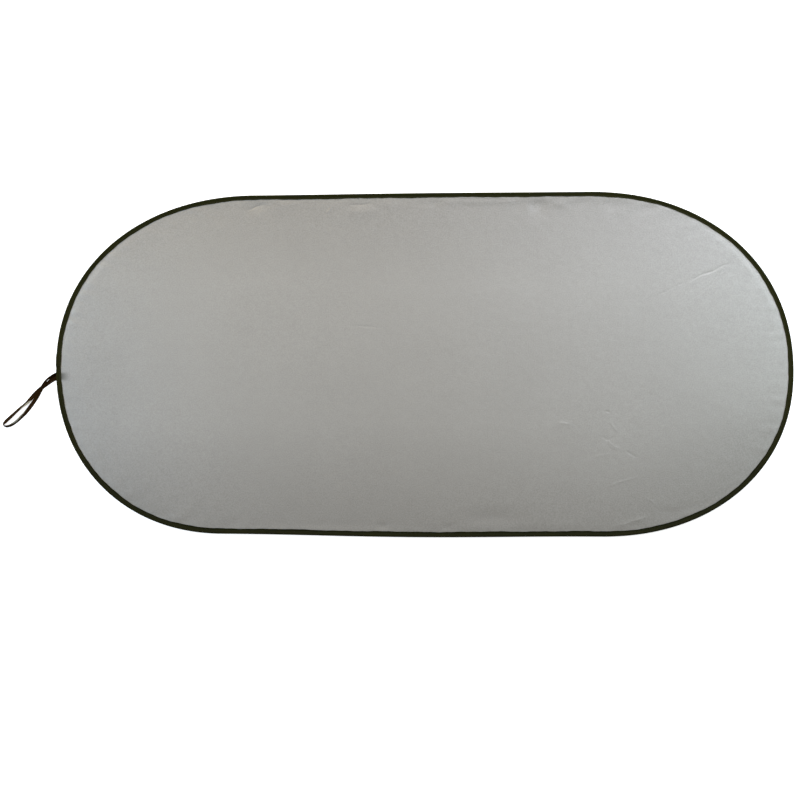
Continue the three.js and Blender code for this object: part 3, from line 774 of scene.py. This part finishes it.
PICKS_ALONG_BAND = 380
CORDS_ROUND_BAND = 28
elastic, elastic_shader, start = new_finish("woven_elastic", {"Specular IOR Level": 0.05})
along_band, round_band = start.node("TexCoord", output=2).parts()
band_picks = start.math("SINE", along_band * (2 * math.pi * PICKS_ALONG_BAND))
band_cords = start.math("SINE", round_band * (2 * math.pi * CORDS_ROUND_BAND))
loop_spot = start.node("TexCoord", output=3)
band_lint = start.node("TexNoise", {}, {"Vector": loop_spot, "Scale": 1100.0, "Detail": 3.0})
band_relief = band_picks * band_cords * 0.00004 + band_lint * 0.00005
feed(elastic_shader, "Normal", start.node("Bump", {}, {"Height": band_relief, "Distance": 1.0}))
band_tone = band_picks * band_cords * 0.2 + band_lint * 0.7 + 0.1
outer_face = mixed(start, band_tone, (0.008, 0.003, 0.0005), (0.034, 0.016, 0.003))
# Painted shade: a pale grey painted along the band's inner edge at the turns
painted_shade_grey = mixed(start, band_tone, (0.25, 0.23, 0.17), (0.42, 0.40, 0.33))
painted_shade_stops = [(at, (reach,) * 3) for at, reach in PAINTED_SHADE_STRETCHES]
painted_shade_reach = start.node("ValToRGB", {"stops": painted_shade_stops}, {0: along_band})
painted_shade_share = ((painted_shade_reach - round_band) * 30).at_least(0.0).at_most(1.0)
feed(elastic_shader, "Base Color", mixed(start, painted_shade_share, outer_face, painted_shade_grey))
feed(elastic_shader, "Roughness", band_lint * 0.15 + 0.7)
loop.data.materials.append(elastic)
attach(loop, "root")
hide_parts("closing_loop")


# The bar tack: a short dense zigzag of the same thread over the seam, where the loop's two ends lie
# between the tape and the floor. It takes the pull of the loop.

TACK_LENGTH = 0.0145
TACK_STITCHES = 21
TACK_SLANTS = (1.35, 1.79)
TACK_INSET = SEAM_INSET + 0.0004

tack_stops = np.linspace(-TACK_LENGTH / 2, TACK_LENGTH / 2, TACK_STITCHES)
tack_stops += rim_distance_at(-LOOP_BELOW_MIDDLE)
tack_slants = np.where(np.arange(TACK_STITCHES) % 2 == 0, *TACK_SLANTS)
bar_tack = sewn("bar_tack", tack_stops, np.full(TACK_STITCHES, TACK_INSET), tack_slants, 1)
bar_tack.data.materials.append(thread)


# The floor: a plain pale surface that the shade lies on. It shows white to the camera and in glossy
# reflections, with only a trace of the shadow under the rim.

FLOOR_SIZE = 14
FLOOR_DROP = 0.0002
bpy.ops.object.select_all(action="DESELECT")
bpy.ops.mesh.primitive_plane_add(size=FLOOR_SIZE, location=(0, 0, -FLOOR_DROP))
floor = bpy.context.object
floor.name = "floor"
pale, pale_shader, start = new_finish("pale_floor", {"Base Color": (0.86, 0.86, 0.86, 1), "Roughness": 0.9})
path = start.tree.nodes.new("ShaderNodeLightPath")
seen = Wire(start.tree, path.outputs["Is Camera Ray"])
seen = start.math("MAXIMUM", seen, Wire(start.tree, path.outputs["Is Glossy Ray"]))
pale_shader.inputs["Emission Color"].default_value = (1, 1, 1, 1)
feed(pale_shader, "Emission Strength", seen * 0.8)
floor.data.materials.append(pale)


# The light: two large soft windows beyond the far side, one to the left and one to the right, a cool
# side light at each end, and a plain warm room all round.

def softbox(name, spot, aim, size, watts, colour):
    bpy.ops.object.select_all(action="DESELECT")
    bpy.ops.object.light_add(type="AREA", location=spot)
    lamp = bpy.context.object
    lamp.name = name
    lamp.rotation_euler = (Vector(aim) - Vector(spot)).to_track_quat("-Z", "Y").to_euler()
    lamp.data.size = size
    lamp.data.energy = watts
    lamp.data.color = colour


softbox("window_light", (1.15, 1.25, 1.10), (0.15, -0.05, 0.0), 1.1, 39.3, (0.864, 0.897, 1.0))
softbox("far_window", (-1.5, 1.9, 1.7), (-0.2, 0.0, 0.0), 1.4, 42.8, (1.0, 0.798, 0.466))
softbox("cool_side_light", (1.7, 0.3, 0.9), (0.3, 0.0, 0.0), 1.0, 7.6, (0.707, 0.99, 1.0))
softbox("left_side_light", (-1.9, 0.2, 1.3), (-0.3, 0.0, 0.0), 1.2, 26.7, (0.561, 0.762, 1.0))

ROOM_LIGHT = 0.16
ROOM_MIRRORED = 0.5
room = bpy.data.worlds.new("pale_room")
bpy.context.scene.world = room
room.use_nodes = True
sky = Wire(room.node_tree)
path = room.node_tree.nodes.new("ShaderNodeLightPath")
seen = Wire(room.node_tree, path.outputs["Is Camera Ray"])
mirrored = Wire(room.node_tree, path.outputs["Is Glossy Ray"])
backdrop = room.node_tree.nodes["Background"]
feed(backdrop, "Color", mixed(sky, seen, (1.0, 0.91, 0.78), (1.0, 1.0, 1.0)))
feed(backdrop, "Strength", seen * (1 - ROOM_LIGHT) + mirrored * (ROOM_MIRRORED - ROOM_LIGHT) + ROOM_LIGHT)


# The camera: straight above the lower half of the shade, so that the oval lies above the middle of a
# square picture.

CAMERA_SPOT = (0.0039, -0.0723)
PICTURE_WIDTH = 1.6272
LENS = 85.0
SENSOR = 36.0
camera_height = PICTURE_WIDTH * LENS / SENSOR + RIM_HEIGHT / 2
bpy.ops.object.select_all(action="DESELECT")
bpy.ops.object.camera_add(location=(*CAMERA_SPOT, camera_height), rotation=(0, 0, 0))
camera = bpy.context.object
camera.data.lens = LENS
camera.data.sensor_width = SENSOR
bpy.context.scene.camera = camera
bpy.context.scene.view_settings.view_transform = "Standard"
